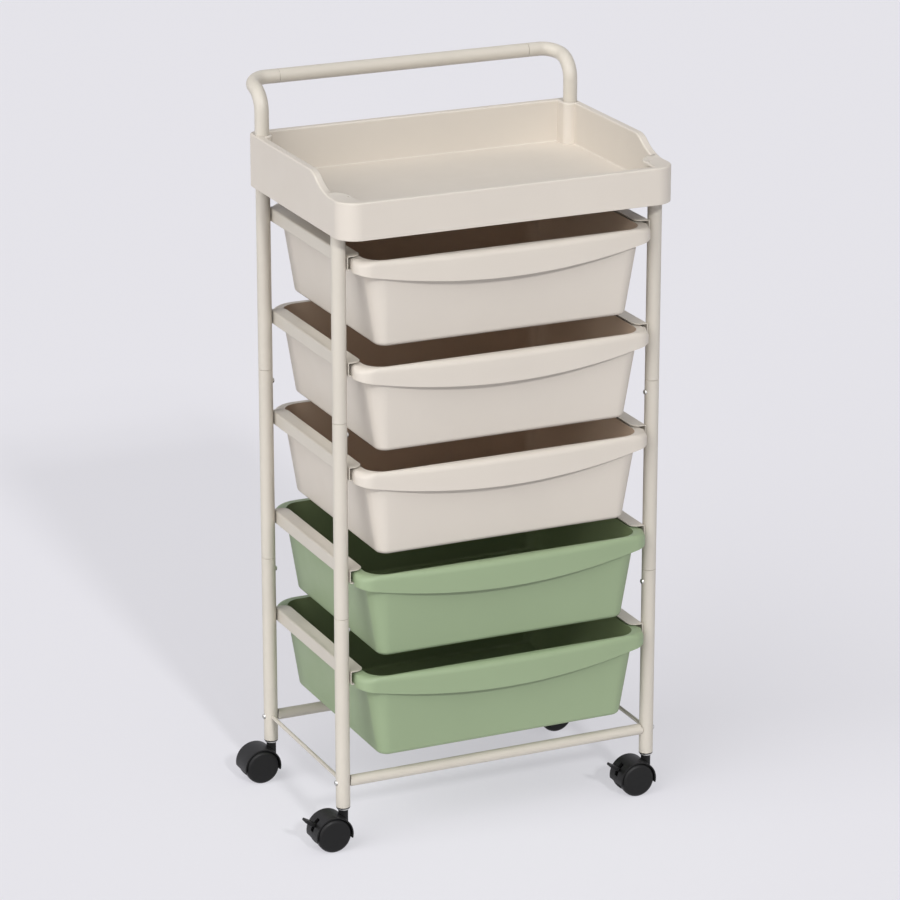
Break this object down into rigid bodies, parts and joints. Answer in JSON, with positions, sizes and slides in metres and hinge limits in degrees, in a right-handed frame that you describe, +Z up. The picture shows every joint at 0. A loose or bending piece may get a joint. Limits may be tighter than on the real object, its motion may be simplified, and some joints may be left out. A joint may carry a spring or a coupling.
{
  "type": "mobile drawer cart",
  "caption": "Mobile storage cart with sliding tub drawers in a round-tube frame, a top tray, a push handle and twin-wheel swivel casters with brakes.",
  "frame": {"origin": "centre of the whole cart's box on the floor, under the wheels", "axes": "+Z up, -Y towards the front where the drawers open, +X to the right of someone facing the front"},
  "size_m": [0.4328, 0.296, 0.826],
  "materials": {
    "beige_powder_coat": "smooth satin powder coat on steel tube and sheet",
    "beige_plastic": "satin moulded polypropylene",
    "sage_plastic": "satin moulded polypropylene",
    "black_plastic": "satin moulded nylon",
    "zinc_steel": "zinc-plated steel"
  },
  "bodies": {
    "frame": {"post_front_left_lower": "beige_powder_coat", "post_front_left_middle": "beige_powder_coat", "post_front_left_upper": "beige_powder_coat", "post_front_right_lower": "beige_powder_coat", "post_front_right_middle": "beige_powder_coat", "post_front_right_upper": "beige_powder_coat", "post_back_left_lower": "beige_powder_coat", "post_back_left_middle": "beige_powder_coat", "post_back_left_upper": "beige_powder_coat", "post_back_right_lower": "beige_powder_coat", "post_back_right_middle": "beige_powder_coat", "post_back_right_upper": "beige_powder_coat", "base_tube_front": "beige_powder_coat", "base_tube_rear": "beige_powder_coat", "side_rod_left": "beige_powder_coat", "side_rod_right": "beige_powder_coat", "runner_1_left": "beige_powder_coat", "runner_1_right": "beige_powder_coat", "runner_2_left": "beige_powder_coat", "runner_2_right": "beige_powder_coat", "runner_3_left": "beige_powder_coat", "runner_3_right": "beige_powder_coat", "runner_4_left": "beige_powder_coat", "runner_4_right": "beige_powder_coat", "runner_5_left": "beige_powder_coat", "runner_5_right": "beige_powder_coat", "top_tray": "beige_plastic", "handle_elbow_left": "beige_powder_coat", "handle_grip": "beige_powder_coat", "handle_elbow_right": "beige_powder_coat", "caster_front_left_stem": "zinc_steel", "caster_front_right_stem": "zinc_steel", "caster_back_left_stem": "zinc_steel", "caster_back_right_stem": "zinc_steel"},
    "drawer_1": {"drawer_1": "beige_plastic"},
    "drawer_2": {"drawer_2": "beige_plastic"},
    "drawer_3": {"drawer_3": "beige_plastic"},
    "drawer_4": {"drawer_4": "sage_plastic"},
    "drawer_5": {"drawer_5": "sage_plastic"},
    "caster_front_left": {"caster_front_left_hood": "black_plastic", "caster_front_left_axle": "zinc_steel"},
    "caster_front_left_wheel_front": {"caster_front_left_wheel_front": "black_plastic"},
    "caster_front_left_wheel_rear": {"caster_front_left_wheel_rear": "black_plastic"},
    "caster_front_left_brake_lever": {"caster_front_left_brake_lever": "black_plastic"},
    "caster_front_right": {"caster_front_right_hood": "black_plastic", "caster_front_right_axle": "zinc_steel"},
    "caster_front_right_wheel_front": {"caster_front_right_wheel_front": "black_plastic"},
    "caster_front_right_wheel_rear": {"caster_front_right_wheel_rear": "black_plastic"},
    "caster_front_right_brake_lever": {"caster_front_right_brake_lever": "black_plastic"},
    "caster_back_left": {"caster_back_left_hood": "black_plastic", "caster_back_left_axle": "zinc_steel"},
    "caster_back_left_wheel_front": {"caster_back_left_wheel_front": "black_plastic"},
    "caster_back_left_wheel_rear": {"caster_back_left_wheel_rear": "black_plastic"},
    "caster_back_right": {"caster_back_right_hood": "black_plastic", "caster_back_right_axle": "zinc_steel"},
    "caster_back_right_wheel_front": {"caster_back_right_wheel_front": "black_plastic"},
    "caster_back_right_wheel_rear": {"caster_back_right_wheel_rear": "black_plastic"}
  },
  "joints": [
    {"name": "drawer_1_slide", "type": "slide", "parent": "frame", "child": "drawer_1", "axis": [0, -1, 0], "range_m": [0, 0.18]},
    {"name": "drawer_2_slide", "type": "slide", "parent": "frame", "child": "drawer_2", "axis": [0, -1, 0], "range_m": [0, 0.18]},
    {"name": "drawer_3_slide", "type": "slide", "parent": "frame", "child": "drawer_3", "axis": [0, -1, 0], "range_m": [0, 0.18]},
    {"name": "drawer_4_slide", "type": "slide", "parent": "frame", "child": "drawer_4", "axis": [0, -1, 0], "range_m": [0, 0.18]},
    {"name": "drawer_5_slide", "type": "slide", "parent": "frame", "child": "drawer_5", "axis": [0, -1, 0], "range_m": [0, 0.18]},
    {"name": "caster_front_left_swivel", "type": "hinge", "parent": "frame", "child": "caster_front_left", "pos_m": [-0.1696, -0.112, 0.04], "axis": [0, 0, 1], "continuous": true},
    {"name": "caster_front_left_wheel_front_spin", "type": "hinge", "parent": "caster_front_left", "child": "caster_front_left_wheel_front", "pos_m": [-0.1856, -0.123, 0.02], "axis": [0, 1, 0], "continuous": true},
    {"name": "caster_front_left_wheel_rear_spin", "type": "hinge", "parent": "caster_front_left", "child": "caster_front_left_wheel_rear", "pos_m": [-0.1856, -0.101, 0.02], "axis": [0, 1, 0], "continuous": true},
    {"name": "caster_front_left_brake_press", "type": "hinge", "parent": "caster_front_left", "child": "caster_front_left_brake_lever", "pos_m": [-0.19748, -0.112, 0.02742], "axis": [0, -1, 0], "range_deg": [0, 14]},
    {"name": "caster_front_right_swivel", "type": "hinge", "parent": "frame", "child": "caster_front_right", "pos_m": [0.2064, -0.112, 0.04], "axis": [0, 0, 1], "continuous": true},
    {"name": "caster_front_right_wheel_front_spin", "type": "hinge", "parent": "caster_front_right", "child": "caster_front_right_wheel_front", "pos_m": [0.1904, -0.123, 0.02], "axis": [0, 1, 0], "continuous": true},
    {"name": "caster_front_right_wheel_rear_spin", "type": "hinge", "parent": "caster_front_right", "child": "caster_front_right_wheel_rear", "pos_m": [0.1904, -0.101, 0.02], "axis": [0, 1, 0], "continuous": true},
    {"name": "caster_front_right_brake_press", "type": "hinge", "parent": "caster_front_right", "child": "caster_front_right_brake_lever", "pos_m": [0.17852, -0.112, 0.02742], "axis": [0, -1, 0], "range_deg": [0, 14]},
    {"name": "caster_back_left_swivel", "type": "hinge", "parent": "frame", "child": "caster_back_left", "pos_m": [-0.1696, 0.1, 0.04], "axis": [0, 0, 1], "continuous": true},
    {"name": "caster_back_left_wheel_front_spin", "type": "hinge", "parent": "caster_back_left", "child": "caster_back_left_wheel_front", "pos_m": [-0.1856, 0.089, 0.02], "axis": [0, 1, 0], "continuous": true},
    {"name": "caster_back_left_wheel_rear_spin", "type": "hinge", "parent": "caster_back_left", "child": "caster_back_left_wheel_rear", "pos_m": [-0.1856, 0.111, 0.02], "axis": [0, 1, 0], "continuous": true},
    {"name": "caster_back_right_swivel", "type": "hinge", "parent": "frame", "child": "caster_back_right", "pos_m": [0.2064, 0.1, 0.04], "axis": [0, 0, 1], "continuous": true},
    {"name": "caster_back_right_wheel_front_spin", "type": "hinge", "parent": "caster_back_right", "child": "caster_back_right_wheel_front", "pos_m": [0.1904, 0.089, 0.02], "axis": [0, 1, 0], "continuous": true},
    {"name": "caster_back_right_wheel_rear_spin", "type": "hinge", "parent": "caster_back_right", "child": "caster_back_right_wheel_rear", "pos_m": [0.1904, 0.111, 0.02], "axis": [0, 1, 0], "continuous": true}
  ]
}
